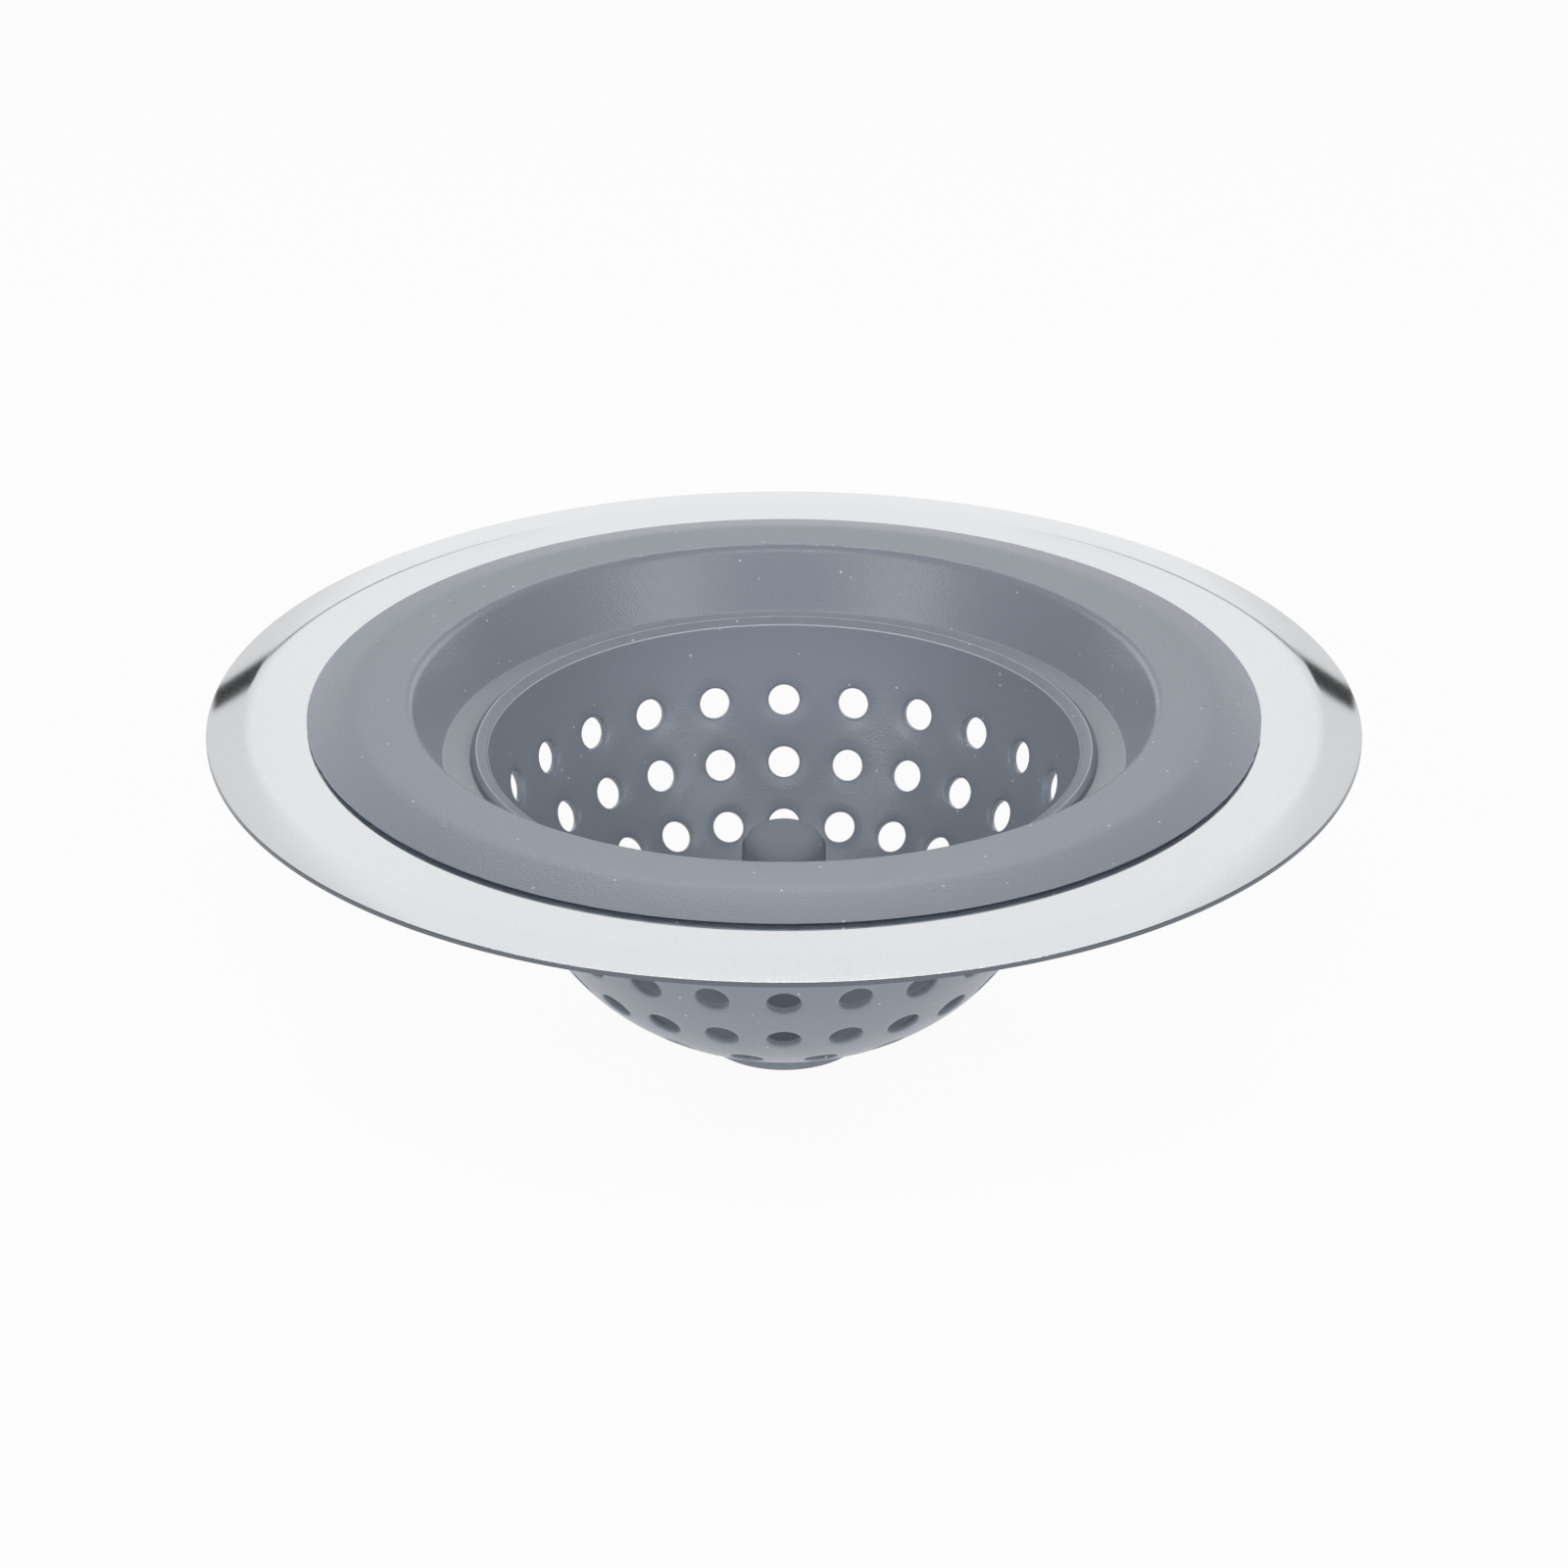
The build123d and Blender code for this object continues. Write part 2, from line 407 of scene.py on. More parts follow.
def makeSilicone():
    # Silicone rubber, compression-moulded in a fine-blasted mould: a satin skin with a fine grain
    # that sparkles where light grazes it, an even colour, pale lint that clings to it, and painted
    # light: highlight lines on the bead's ridges and a paler ledge
    look = siliconeLook
    material = bpy.data.materials.new("mouldedSilicone")
    material.use_nodes = True
    tree = material.node_tree
    shader = tree.nodes["Principled BSDF"]
    place = addNode(tree, "ShaderNodeTexCoord").outputs["Object"]
    grain = addNode(tree, "ShaderNodeTexNoise", sockets={
        "Vector": place, "Scale": 1 / (look["grainSize"] * mm), "Detail": 2.0,
    }).outputs[0]
    cells = addNode(tree, "ShaderNodeTexVoronoi", sockets={
        "Vector": place, "Scale": 1 / (look["dustSpacing"] * mm),
    }).outputs
    speckSize = look["dustRadius"] / look["dustSpacing"]
    speckAndHighlight = addMath(tree, "LESS_THAN", cells["Distance"], speckSize)
    draw = addNode(tree, "ShaderNodeSeparateColor", sockets={0: cells["Color"]}).outputs[0]
    dusty = addMath(tree, "GREATER_THAN", draw, look["dustBare"])
    speckAndHighlight = addMath(tree, "MULTIPLY", speckAndHighlight, dusty)
    # Lint: cells drawn out along one axis, which become short hairs, for either level axis
    for stretched in ((1 / look["lintStretch"], 1, 1), (1, 1 / look["lintStretch"], 1)):
        drawnOut = addNode(tree, "ShaderNodeVectorMath", {"operation": "MULTIPLY"}, {
            0: place, 1: stretched,
        }).outputs[0]
        hairs = addNode(tree, "ShaderNodeTexVoronoi", sockets={
            "Vector": drawnOut, "Scale": 1 / (look["lintSpacing"] * mm),
        }).outputs["Distance"]
        hair = addMath(tree, "LESS_THAN", hairs, look["lintRadius"] / look["lintSpacing"])
        speckAndHighlight = addMath(tree, "MAXIMUM", speckAndHighlight, hair)
    parts = addNode(tree, "ShaderNodeSeparateXYZ", sockets={0: place}).outputs
    flatPlace = addNode(tree, "ShaderNodeCombineXYZ", sockets={"X": parts["X"], "Y": parts["Y"]})
    fromAxis = addNode(tree, "ShaderNodeVectorMath", {"operation": "LENGTH"}, {
        0: flatPlace.outputs[0],
    }).outputs["Value"]
    # Painted highlights: pale lines of the dust colour along the two fine ridges of the bead
    onBead = addMath(tree, "GREATER_THAN", parts["Z"], (ledgeHeight + look["ridgeFrom"]) * mm)
    for highlightRidgeRadius in (mouth.x, crestRadius):
        offHighlightRidge = addMath(tree, "ABSOLUTE", addMath(tree, "SUBTRACT", fromAxis, highlightRidgeRadius * mm))
        ridge = addMath(tree, "LESS_THAN", offHighlightRidge, look["ridgeWidth"] / 2 * mm)
        speckAndHighlight = addMath(tree, "MAXIMUM", speckAndHighlight, addMath(tree, "MULTIPLY", ridge, onBead))
    # The peg's skin is duller from being handled
    dull = addMath(tree, "LESS_THAN", fromAxis, look["dullRadius"] * mm)
    # Painted light: a paler colour on the ledge, which lightens the shade it lies in
    ledgeLightInner, ledgeLightOuter = look["paintedLedgeLightRadii"]
    ledgeLit = addMath(tree, "GREATER_THAN", fromAxis, ledgeLightInner * mm)
    withinLedgeLight = addMath(tree, "LESS_THAN", fromAxis, ledgeLightOuter * mm)
    ledgeLit = addMath(tree, "MULTIPLY", ledgeLit, withinLedgeLight)
    ledgeLit = addMath(tree, "MULTIPLY", ledgeLit, look["paintedLedgeLightCover"])
    body = addNode(tree, "ShaderNodeMix", {"data_type": "RGBA"}, {
        0: ledgeLit, 6: colour(look["colour"]), 7: colour(look["paintedLedgeLight"]),
    }).outputs[2]
    # The pale colour goes on the dust specks, the lint and the painted highlight lines
    dustedAndHighlighted = addNode(tree, "ShaderNodeMix", {"data_type": "RGBA"}, {
        0: addMath(tree, "MULTIPLY", speckAndHighlight, look["dustAndHighlightCover"]), 6: body, 7: colour(look["dustAndHighlight"]),
    }).outputs[2]
    tree.links.new(dustedAndHighlighted, shader.inputs["Base Color"])
    roughness = addNode(tree, "ShaderNodeMix", {"data_type": "FLOAT"}, {
        0: dull, 2: look["roughness"], 3: look["dullRoughness"],
    }).outputs[0]
    specular = addNode(tree, "ShaderNodeMix", {"data_type": "FLOAT"}, {
        0: dull, 2: look["specular"], 3: look["dullSpecular"],
    }).outputs[0]
    tree.links.new(roughness, shader.inputs["Roughness"])
    tree.links.new(specular, shader.inputs["Specular IOR Level"])
    bump = addNode(tree, "ShaderNodeBump", sockets={
        "Height": grain, "Distance": look["grainDepth"] * mm, "Strength": 1.0,
    }).outputs[0]
    tree.links.new(bump, shader.inputs["Normal"])
    shader.inputs["IOR"].default_value = look["ior"]
    return material


steelLook = {
    "colour": "#E6E8EA",
    "shade": "#DDE0E3",
    # painted shade: the dark grey of the sheet's edge
    "edge": "#6F747B",
    "edgeRoughness": 0.3,
    "edgeUpright": 0.98,  # the rougher edge, with painted shade on it, is where the normal is less upright than this
    "roughness": 0.045,
    "roughnessSpread": 0.02,
    "waveSize": 14.0,
    "waveDepth": 0.004,
    "scratchSize": 0.35,
}


def makeSteel():
    # Stainless steel sheet, pressed and buffed: a bright skin that mirrors softly, with a faint
    # waviness left by the press, fine marks from buffing, and painted shade on the sheet's edge
    look = steelLook
    material = bpy.data.materials.new("buffedStainlessSteel")
    material.use_nodes = True
    tree = material.node_tree
    shader = tree.nodes["Principled BSDF"]
    place = addNode(tree, "ShaderNodeTexCoord").outputs["Object"]
    waves = addNode(tree, "ShaderNodeTexNoise", sockets={
        "Vector": place, "Scale": 1 / (look["waveSize"] * mm), "Detail": 1.0,
    }).outputs[0]
    marks = addNode(tree, "ShaderNodeTexNoise", sockets={
        "Vector": place, "Scale": 1 / (look["scratchSize"] * mm), "Detail": 4.0,
    }).outputs[0]
    roughness = addNode(tree, "ShaderNodeMapRange", sockets={
        "Value": marks,
        "To Min": look["roughness"] - look["roughnessSpread"],
        "To Max": look["roughness"] + look["roughnessSpread"],
    }).outputs[0]
    bump = addNode(tree, "ShaderNodeBump", sockets={
        "Height": waves, "Distance": look["waveDepth"] * mm, "Strength": 1.0,
    }).outputs[0]
    tree.links.new(bump, shader.inputs["Normal"])
    # The sheet's edge, where the surface isn't level, is left unbuffed and rougher; its dark grey
    # is painted shade
    normal = addNode(tree, "ShaderNodeTexCoord").outputs["Normal"]
    height = addNode(tree, "ShaderNodeSeparateXYZ", sockets={0: normal}).outputs["Z"]
    upright = addMath(tree, "ABSOLUTE", height)
    shearedAndShadedEdge = addMath(tree, "LESS_THAN", upright, look["edgeUpright"])
    skin = addNode(tree, "ShaderNodeMix", {"data_type": "RGBA"}, {
        0: marks, 6: colour(look["shade"]), 7: colour(look["colour"]),
    }).outputs[2]
    toneWithShadedEdge = addNode(tree, "ShaderNodeMix", {"data_type": "RGBA"}, {
        0: shearedAndShadedEdge, 6: skin, 7: colour(look["edge"]),
    }).outputs[2]
    finish = addNode(tree, "ShaderNodeMix", {"data_type": "FLOAT"}, {
        0: shearedAndShadedEdge, 2: roughness, 3: look["edgeRoughness"],
    }).outputs[0]
    tree.links.new(toneWithShadedEdge, shader.inputs["Base Color"])
    tree.links.new(finish, shader.inputs["Roughness"])
    shader.inputs["Metallic"].default_value = 1.0
    return material


silicone = makeSilicone()
steel = makeSteel()
print("materials ready")


holeSizes = {
    "radius": 1.65,
    "firstRow": 8.3,
    "rowPitch": 6.6,
    "counts": (24, 24, 24, 16),
    "turnShares": (0.0, 0.0, 0.0, 0.5),  # turned on by this share of a hole's angle
    "innerRound": 0.35,
    "outerRound": 0.2,
    "dimpleDepth": 0.15,
    "dimpleWidth": 1.0,
    "dimpleShape": ((1.0, 0.0), (0.55, 0.35), (0.15, 0.8)),  # shares of its width and its depth
    "innerLeans": (0, 30, 60, 90),  # degrees at which the rounds have points
    "outerLeans": (90, 45, 0),
    "cellMargin": 0.15,
    "cellSteps": 10,  # faces down a cell
    "patchShares": (1.0, 0.66, 0.33),  # rings from the cell's border to the hole
}
pegSizes = {
    "topHeight": 23.1,
    "topRadius": 4.0,
    "baseRadius": 4.3,
    "flare": 0.5,
    "round": 1.7,
    "seamHeight": 0.2,
    "seamWidth": 0.16,
}


def holeSheet(row, copies):
    # One cell of a row: a rectangle of the wall with a round hole through it, as a flat sheet
    # in angle, distance and depth. The hole is a true cylinder square to the wall.
    sizes, wall = holeSizes, cupSizes["wall"]
    centreDistance = sizes["firstRow"] + row * sizes["rowPitch"]
    inner, outer = wallAt(centreDistance), wallAt(centreDistance, wall)
    outwards = (outer - inner).normalized()
    downwards = Vector((outwards.y, -outwards.x))
    halfAngle = math.pi / copies
    halfPitch = sizes["rowPitch"] / 2
    across, down = turnSteps // copies, sizes["cellSteps"]

    def onWall(reach, angle, depth):
        # Sheet place of a point of the hole's cylinder, reach from its axis, at a depth
        side = reach * math.sin(angle)
        rise = depth
        for _ in range(4):
            spot = inner + downwards * reach * math.cos(angle) + outwards * rise
            radius = math.hypot(spot.x, side)
            distance, found = wallDistance(radius, spot.y)
            reached = depth * wallShare(distance)
            rise += reached - found
        return (math.atan2(side, spot.x), (distance - centreDistance) * mm, reached * mm)

    # The cell's border, from the middle of its lower side round by its right side
    border = []
    for i in range(across // 2):
        border.append((i / (across / 2), 1.0))
    for i in range(down):
        border.append((1.0, 1.0 - 2 * i / down))
    for i in range(across):
        border.append((1.0 - 2 * i / across, -1.0))
    for i in range(down):
        border.append((-1.0, -1.0 + 2 * i / down))
    for i in range(across // 2):
        border.append((-1.0 + i / (across / 2), 1.0))
    count = len(border)
    angles = [2 * math.pi * i / count for i in range(count)]

    radius, innerRound, outerRound = sizes["radius"], sizes["innerRound"], sizes["outerRound"]
    # The dimple keeps clear of the cell's sides, which are nearest to it a little below the hole
    below = centreDistance + 0.6 * halfPitch
    narrowest = wallAt(below).x * math.sin(halfAngle)
    sideRoom = narrowest - sizes["cellMargin"]
    dimple = sizes["dimpleDepth"]
    dimpleWidth = min(sizes["dimpleWidth"], sideRoom - radius - innerRound)
    profile = []
    for widthShare, depthShare in sizes["dimpleShape"]:
        reach = radius + innerRound + dimpleWidth * widthShare
        profile.append((reach, dimple * depthShare))
    for degrees in sizes["innerLeans"]:
        lean = math.radians(degrees)
        depth = dimple + innerRound * (1 - math.cos(lean))
        profile.append((radius + innerRound * (1 - math.sin(lean)), depth))
    for degrees in sizes["outerLeans"]:
        lean = math.radians(degrees)
        depth = wall - outerRound * (1 - math.cos(lean))
        profile.append((radius + outerRound * (1 - math.sin(lean)), depth))
    bore = [[onWall(reach, angle, depth) for angle in angles] for reach, depth in profile]

    def patch(edge, depth):
        # Rings from the cell's border in towards an edge of the hole
        rings = []
        for share in sizes["patchShares"]:
            ring = []
            for (x, y), (angle, distance, _) in zip(border, edge):
                placed = distance + share * (y * halfPitch * mm - distance)
                thinned = depth * wallShare(centreDistance + placed / mm)
                ring.append((angle + share * (x * halfAngle - angle), placed, thinned * mm))
            rings.append(ring)
        return rings

    rings = patch(bore[0], 0.0) + bore + patch(bore[-1], wall)[::-1]
    vertices = [place for ring in rings for place in ring]
    faces = []
    for ring in range(len(rings) - 1):
        for i in range(count):
            after = (i + 1) % count
            low, high = ring * count, (ring + 1) * count
            faces.append((low + i, low + after, high + after, high + i))
    return vertices, faces, centreDistance


def makeCup():
    sizes, peg = cupSizes, pegSizes
    wall, pitch = sizes["wall"], holeSizes["rowPitch"]
    firstEdge = holeSizes["firstRow"] - pitch / 2
    lastEdge = firstEdge + pitch * len(holeSizes["counts"])
    inside = roundedLine([
        (0, peg["topHeight"], 0),
        (peg["topRadius"], peg["topHeight"], peg["round"]),
        (peg["baseRadius"], sizes["floorHeight"], peg["flare"]),
        (sizes["floorFlatRadius"] + peg["flare"], sizes["floorHeight"], 0),
    ])
    inside += wallLine(wallLength - peg["flare"] * 1.2, lastEdge)  # clear of the peg's flare
    ridge, tip, fillet = sizes["ridgeWidth"], sizes["ridgeRound"], sizes["crestFillet"]
    crestTop = ledgeHeight + sizes["beadHeight"]
    crestFoot = crestTop - sizes["crestDrop"]
    top = wallLine(firstEdge, 0.4)  # the mouth's ridge takes over just below the mouth
    top += roundedLine([
        (mouth.x - 0.02, mouth.y - 0.1, 0),
        (mouth.x + 0.02, mouth.y + sizes["ridgeHeight"], tip),
        (mouth.x + ridge, mouth.y + tip, 2 * tip),
        (crestRadius - ridge, crestFoot, fillet),
        (crestRadius, crestTop, tip),
        (crestRadius + ridge, crestFoot, fillet),
        (beadRadius - sizes["beadLean"], crestTop - sizes["shoulderDrop"], sizes["beadRound"]),
        (beadRadius, ledgeHeight, 0),
        (beadRadius, shelfHeight, 0),
    ])
    shelfDistance = wallDistance(beadRadius - sizes["shelfWidth"], shelfHeight)[0]
    top += wallLine(shelfDistance, firstEdge, wall)
    footReach = sizes["footRadius"] - sizes["floorFlatRadius"]
    footLean = math.acos(footReach / (lowerRadius + sizes["thinWall"]))
    footEdge = upperLength + lowerRadius * (footLean - turnLean)
    footTop = wallAt(footEdge, sizes["thinWall"])
    under = wallLine(lastEdge, footEdge - sizes["footFillet"], wall)
    under += roundedLine([
        (sizes["footRadius"], footTop.y - 0.1, 0),
        (sizes["footRadius"], 0, sizes["footRound"]),
        (0, 0, 0),
    ])
    skins = [turnOutline(line, silicone) for line in (inside, top, under)]
    wholeWall = wallLine(0, wallLength, step=0.25)
    for row, copies in enumerate(holeSizes["counts"]):
        vertices, faces, distance = holeSheet(row, copies)
        share = holeSizes["turnShares"][row]
        skins.append(turnSheet(vertices, faces, wholeWall, copies, silicone, share, distance))
    cup = weldPiece("perforatedCup", skins, sharpDegrees=50)
    # The mould's two halves leave a thin seam up either side of the peg, along the X axis
    seamFoot = sizes["floorHeight"] + 2 * peg["flare"]
    seamTop = peg["topHeight"] - peg["round"] / 2
    for vertex in cup.data.vertices:
        radius, height = vertex.co.xy.length / mm, vertex.co.z / mm
        if radius < peg["baseRadius"] + 0.1 and seamFoot < height < seamTop:
            if abs(vertex.co.y) / mm < peg["seamWidth"] / 2:
                vertex.co.xy *= 1 + peg["seamHeight"] / radius
    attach(cup, "cup")
    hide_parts("strainer_cup", "grip_peg", "foot_disc")


def makeCollar():
    # The collar grips the ring in its groove
    sizes = collarSizes
    throatTop = throatRadius + (flangeTop - throatBottom) * throatLean
    crown = throatTop + sizes["crownWidth"]
    flange = crown + sizes["shoulderWidth"]
    lip = holeRadius + sizes["lipWidth"]
    lipBottom = steelUnderside - sizes["lipThickness"]
    lipRoot = grooveRadius - sizes["lipRootWidth"]
    line = roundedLine([
        (throatRadius, throatBottom, 0),
        (throatTop, flangeTop, sizes["throatRound"]),
        (crown, flangeTop, sizes["crownRound"]),
        (flange, steelTop + sizes["edge"], sizes["edgeRound"]),
        (flange, steelTop + sizes["gapHeight"], 0),
        (flange - sizes["gapDepth"], steelTop, 0),
        (grooveRadius, steelTop, 0),
        (grooveRadius, steelUnderside, 0),
        (lip, steelUnderside, 0),
        (lip, lipBottom, sizes["lipRound"]),
        (lipRoot, lipBottom, sizes["lipRound"]),
        (lipRoot, throatBottom, 0),
        (throatRadius, throatBottom, 0),
    ])
    collar = weldPiece("basketCollar", [turnOutline(line, silicone)])
    # The flange's thin edge is trimmed by hand and a little ragged
    outermost = flange - 0.05
    draw = random.Random(5)  # a fixed seed
    trims = [draw.uniform(-1, 0) * sizes["raggedness"] for _ in range(turnSteps)]
    for vertex in collar.data.vertices:
        height = vertex.co.z / mm - steelTop
        if vertex.co.xy.length / mm > outermost and 0 < height < sizes["edge"]:
            share = math.atan2(vertex.co.y, vertex.co.x) / (2 * math.pi)
            trim = trims[round(share * turnSteps) % turnSteps]
            vertex.co.xy *= 1 + trim / flange
            vertex.co.z += trim * mm / 2
    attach(collar, "rim")
    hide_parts("basket_collar")


def makeWeb():
    # The fold web, in narrow sectors, each a closed piece of its own; side by side they make
    # a closed ring round the cup
    sizes = webSizes
    outerLedge = ledgeRadius + webAcross - sizes["thickness"] * throatLean
    line = roundedLine([
        (throatRadius, throatBottom, 0),
        (ledgeRadius, ledgeHeight, sizes["ledgeRound"]),
        (beadRadius, ledgeHeight, 0),
        (beadRadius, shelfHeight, 0),
        (outerLedge, shelfHeight, sizes["ledgeRound"] + sizes["thickness"]),
        (throatRadius + webAcross, throatBottom, 0),
    ])
    # Long straight stretches get points in between
    loop = []
    for here, after in zip(line, line[1:] + line[:1]):
        pieces = max(1, round((after - here).length / sizes["bendStep"]))
        loop += [here.lerp(after, i / pieces) for i in range(pieces)]
    count, sectors = len(loop), sizes["sectors"]
    steps = turnSteps // sectors
    sectorAngle = 2 * math.pi / sectors
    for sector in range(sectors):
        vertices = []
        for step in range(steps + 1):
            angle = sectorAngle * (sector + step / steps)
            for point in loop:
                place = (-point.x * math.sin(angle), point.x * math.cos(angle), point.y)
                vertices.append(Vector(place) * mm)
        faces = [tuple(range(count)), tuple(range(steps * count, (steps + 1) * count))[::-1]]
        for step in range(steps):
            for i in range(count):
                after = (i + 1) % count
                near, far = step * count, (step + 1) * count
                faces.append((near + i, far + i, far + after, near + after))
        mesh = bpy.data.meshes.new("web")
        mesh.from_pydata(vertices, [], faces)
        mesh.materials.append(silicone)
        web = weldPiece(f"foldWeb.{sector:02d}", [mesh])
        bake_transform(web)
        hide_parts("fold_web")


def makeRing():
    sizes = ringSizes
    band = ringRadius - sizes["bandWidth"]
    line = roundedLine([
        (holeRadius, steelUnderside, 0),
        (holeRadius, steelTop, 0),
        (band, steelTop, sizes["bend"] + sizes["sheet"]),
        (ringRadius, steelTop - sizes["bandDrop"], sizes["edgeRound"]),
        (ringRadius, steelUnderside - sizes["bandDrop"], sizes["edgeRound"]),
        (band, steelUnderside, sizes["bend"]),
        (holeRadius, steelUnderside, 0),
    ], stepDegrees=1.5)
    ring = weldPiece("steelRing", [turnOutline(line, steel)])
    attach(ring, "rim")
    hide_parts("steel_rim")


makeCup()
makeCollar()
makeWeb()
makeRing()
print("pieces ready")


floorLook = {
    "size": 8.0,  # in metres
    "colour": "#F4F5F6",
    "roughness": 0.9,
    "ownLight": 0.4,
    "seenLight": 0.93,
}


def makeFloor():
    # Matt white sheet, lit a little from below. The camera sees it near white, its shadow kept.
    half = floorLook["size"] / 2
    mesh = bpy.data.meshes.new("floor")
    corners = [(-half, -half, 0), (half, -half, 0), (half, half, 0), (-half, half, 0)]
    mesh.from_pydata(corners, [], [(0, 1, 2, 3)])
    floor = bpy.data.objects.new("floor", mesh)
    scene.collection.objects.link(floor)
    material = bpy.data.materials.new("whiteSweep")
    material.use_nodes = True
    tree = material.node_tree
    shader = tree.nodes["Principled BSDF"]
    shader.inputs["Base Color"].default_value = colour(floorLook["colour"])
    shader.inputs["Roughness"].default_value = floorLook["roughness"]
    shader.inputs["Specular IOR Level"].default_value = 0.0
    path = addNode(tree, "ShaderNodeLightPath").outputs
    seen = addMath(tree, "MAXIMUM", path["Is Camera Ray"], path["Is Glossy Ray"])
    seen = addMath(tree, "MAXIMUM", seen, path["Is Transmission Ray"])
    share = addMath(tree, "MULTIPLY", seen, floorLook["seenLight"])
    glow = addNode(tree, "ShaderNodeEmission", sockets={"Color": (1, 1, 1, 1)}).outputs[0]
    mixed = addNode(tree, "ShaderNodeMixShader", sockets={
        0: addMath(tree, "MAXIMUM", share, floorLook["ownLight"]),
        1: shader.outputs[0],
        2: glow,
    }).outputs[0]
    tree.links.new(mixed, tree.nodes["Material Output"].inputs["Surface"])
    mesh.materials.append(material)


# The studio's walls, painted one over the other: each covers a range of elevation and of
# azimuth to either side of straight behind the object, in degrees, with soft edges
studioWalls = [
    {"elevation": (-20, 41.5), "azimuth": (-9, 15.5), "level": 0.82, "softness": (1.0, 1.5)},
    {"elevation": (-20, 41.5), "azimuth": (-9, 9.6), "level": 1.0, "softness": (1.0, 1.9)},
    {"elevation": (28, 41.5), "azimuth": (-9, 11.5), "level": 0.97, "softness": (3.0, 2.0)},
    {"elevation": (21.2, 21.8), "azimuth": (5, 12), "level": 0.25, "softness": (0.3, 2.0)},
    {"elevation": (12, 26), "azimuth": (16.5, 30), "level": 1.9, "softness": (1.5, 1.5)},
    {"elevation": (12, 30), "azimuth": (30, 60), "level": 3.2, "softness": (1.5, 1.5)},
    {"elevation": (-5, 12), "azimuth": (16.5, 60), "level": 1.8, "softness": (1.5, 1.5)},
    {"elevation": (21.4, 22.9), "azimuth": (10.8, 13.6), "level": 0.04, "softness": (0.15, 0.2)},
    {"elevation": (41.4, 46.0), "azimuth": (-9, 12), "level": 14.0, "softness": (0.5, 1.5)},
]
dimStudio = 0.1  # the level of the rest of the room

# Soft boxes, by azimuth from straight behind the object, elevation and size in degrees, and
# radiance. The pairs at the front leave a dark gap between them, where the camera stands.
softboxes = {
    "frontOverhead": {"azimuth": 180, "elevation": 55, "size": (34, 20), "radiance": 4.8},
    "frontLeft": {"azimuth": -139, "elevation": 17, "size": (21, 10), "radiance": 7.4},
    "frontRight": {"azimuth": 139, "elevation": 17, "size": (21, 10), "radiance": 7.4},
    "frontLeftMiddle": {"azimuth": -139, "elevation": 27, "size": (20, 10), "radiance": 4.8},
    "frontRightMiddle": {"azimuth": 139, "elevation": 27, "size": (20, 10), "radiance": 4.8},
    "frontLeftHigh": {"azimuth": -142, "elevation": 38.5, "size": (21, 13), "radiance": 2.7},
    "frontRightHigh": {"azimuth": 142, "elevation": 38.5, "size": (21, 13), "radiance": 2.7},
}
softboxDistance = 1.6  # in metres


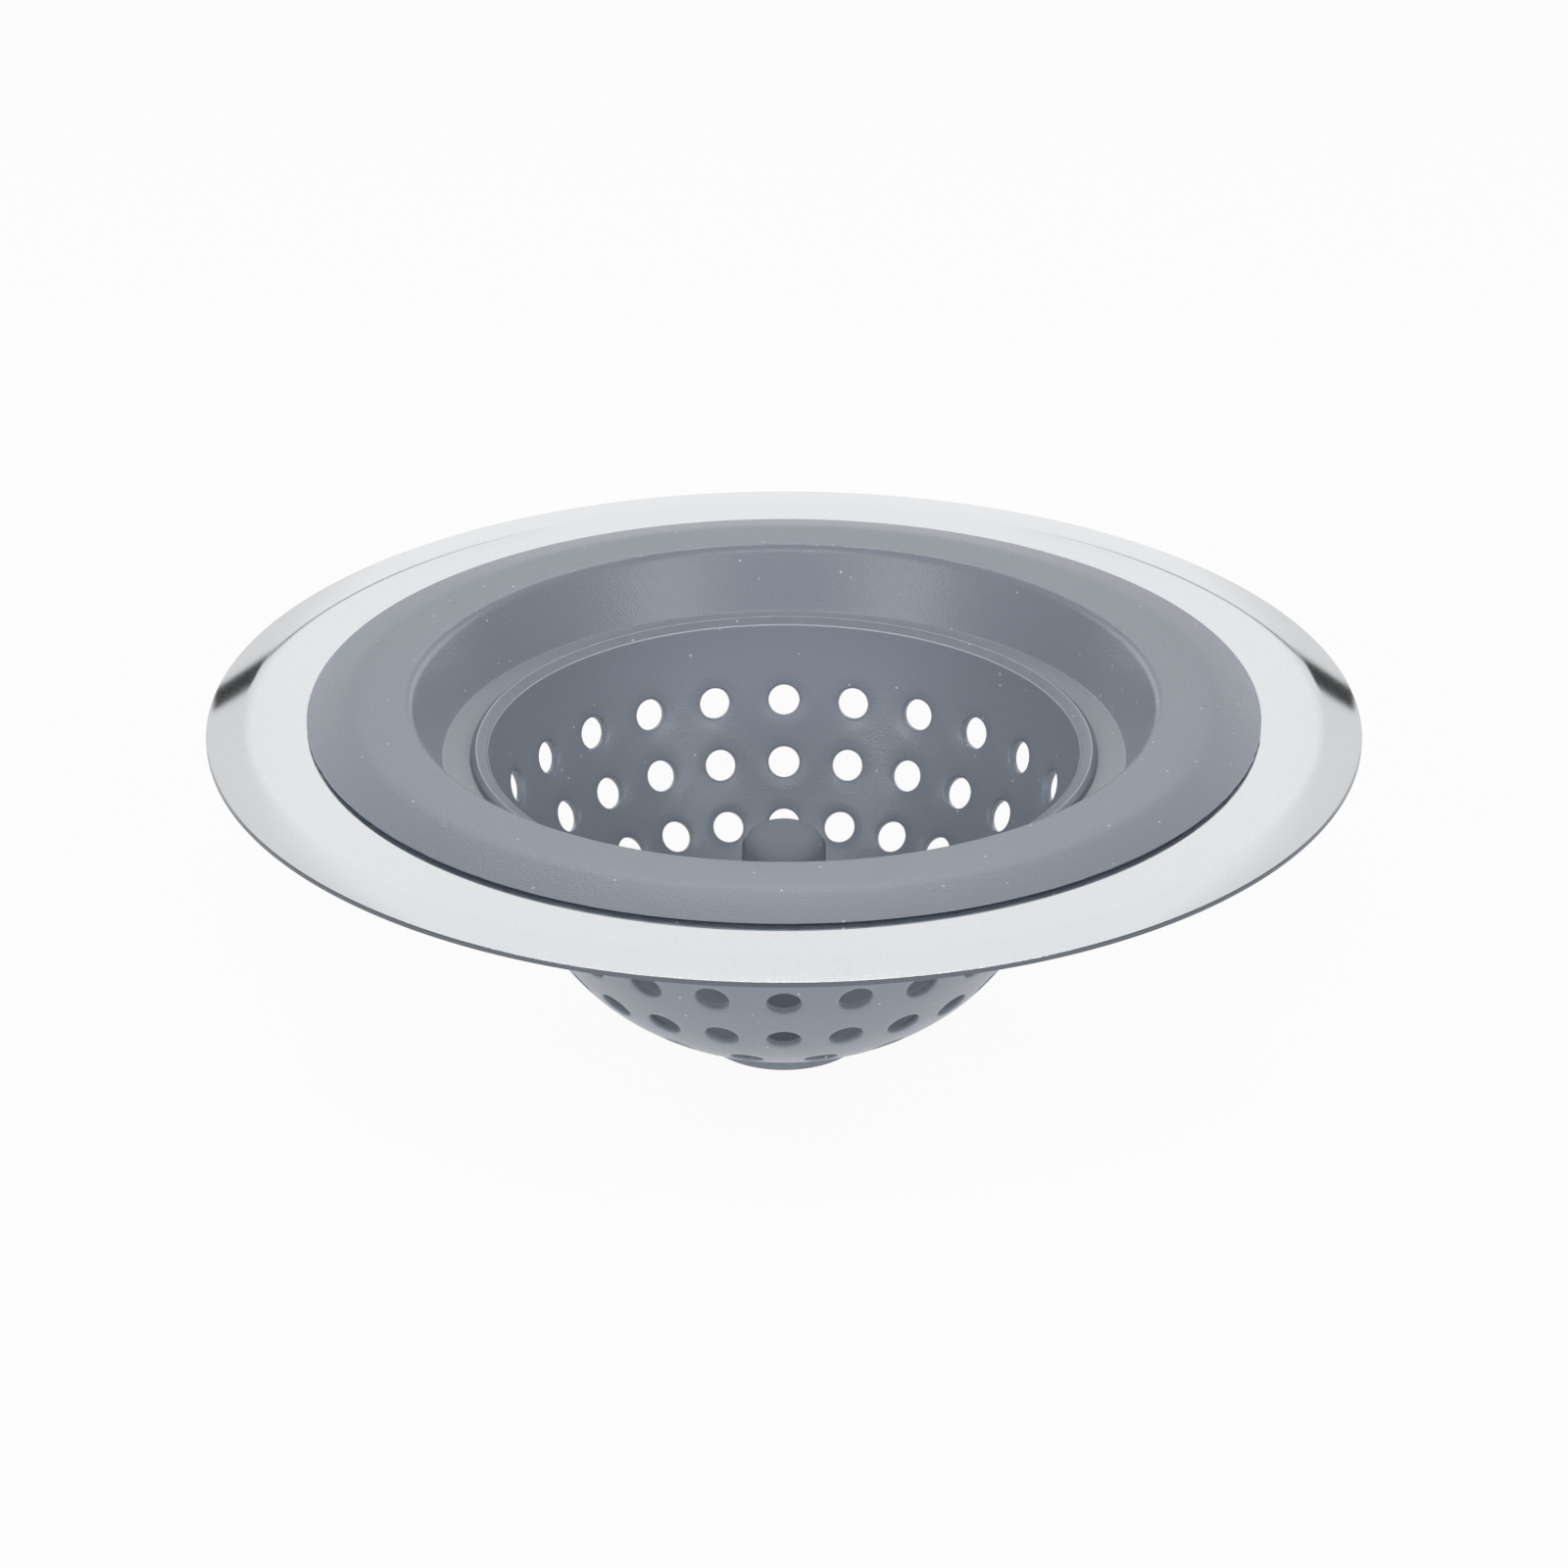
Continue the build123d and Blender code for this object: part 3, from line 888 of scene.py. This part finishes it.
def makeWorld():
    world = bpy.data.worlds.new("studio")
    scene.world = world
    world.use_nodes = True
    tree = world.node_tree
    direction = addNode(tree, "ShaderNodeTexCoord").outputs["Generated"]
    parts = addNode(tree, "ShaderNodeSeparateXYZ", sockets={0: direction}).outputs
    sideways = addMath(tree, "ABSOLUTE", parts["X"])
    angles = {
        "elevation": addMath(tree, "DEGREES", addMath(tree, "ARCSINE", parts["Z"])),
        "azimuth": addMath(tree, "DEGREES", addMath(tree, "ARCTAN2", sideways, parts["Y"])),
    }

    def past(angle, edge, softness):
        return addNode(tree, "ShaderNodeMapRange", {"interpolation_type": "SMOOTHSTEP"}, {
            "Value": angle, "From Min": edge - softness, "From Max": edge + softness,
        }).outputs[0]

    strength = dimStudio
    for wall in studioWalls:
        inside = 1.0
        for (name, angle), softness in zip(angles.items(), wall["softness"]):
            low, high = wall[name]
            beyond = addMath(tree, "SUBTRACT", 1.0, past(angle, high, softness))
            inside = addMath(tree, "MULTIPLY", inside, past(angle, low, softness))
            inside = addMath(tree, "MULTIPLY", inside, beyond)
        strength = addNode(tree, "ShaderNodeMix", {"data_type": "FLOAT"}, {
            0: inside, 2: strength, 3: wall["level"],
        }).outputs[0]
    path = addNode(tree, "ShaderNodeLightPath").outputs
    seen = addMath(tree, "MAXIMUM", path["Is Camera Ray"], path["Is Transmission Ray"])
    strength = addNode(tree, "ShaderNodeMix", {"data_type": "FLOAT"}, {
        0: seen, 2: strength, 3: 1.0,
    }).outputs[0]
    tree.links.new(strength, tree.nodes["Background"].inputs["Strength"])
    tree.nodes["Background"].inputs["Color"].default_value = (1, 1, 1, 1)


def addSoftbox(name, box):
    # An area lamp that faces the ring; its power follows from its radiance and its area
    azimuth, elevation = math.radians(box["azimuth"]), math.radians(box["elevation"])
    level = math.cos(elevation)
    away = Vector((math.sin(azimuth) * level, math.cos(azimuth) * level, math.sin(elevation)))
    width, height = (2 * softboxDistance * math.tan(math.radians(x / 2)) for x in box["size"])
    data = bpy.data.lights.new(name, "AREA")
    data.shape = "RECTANGLE"
    data.size, data.size_y = width, height
    data.energy = box["radiance"] * math.pi * width * height
    lamp = bpy.data.objects.new(name, data)
    lamp.location = away * softboxDistance + Vector((0, 0, steelTop * mm))
    lamp.rotation_euler = away.to_track_quat("Z", "Y").to_euler()
    lamp.visible_camera = False
    scene.collection.objects.link(lamp)


# The camera's fit to the photograph, in its pixels at the middle of the ring
view = {
    "elevation": 24.94,
    "distance": 400.0,
    "pixelsPerMm": 10.26,
    "centreDown": 80.0,
    "imageWidth": 1600,
    "sensorWidth": 36.0,
}


def makeCamera():
    # The photograph's viewing angle; the aim is a little below the ring, to centre the object
    data = bpy.data.cameras.new("camera")
    pixelsAway = view["pixelsPerMm"] * view["distance"]
    data.sensor_width = view["sensorWidth"]
    data.lens = data.sensor_width * pixelsAway / view["imageWidth"]
    camera = bpy.data.objects.new("camera", data)
    tilt = math.radians(view["elevation"])
    target = Vector((0, 0, steelTop - ringSizes["bandDrop"])) * mm
    away = Vector((0, -math.cos(tilt), math.sin(tilt))) * view["distance"] * mm
    camera.location = target + away
    drop = math.atan(view["centreDown"] / pixelsAway)
    camera.rotation_euler = (math.pi / 2 - tilt - drop, 0, 0)
    scene.collection.objects.link(camera)
    scene.camera = camera


makeFloor()
makeWorld()
for name, box in softboxes.items():
    addSoftbox(name, box)
makeCamera()
scene.view_settings.view_transform = "Standard"
print("stage ready")
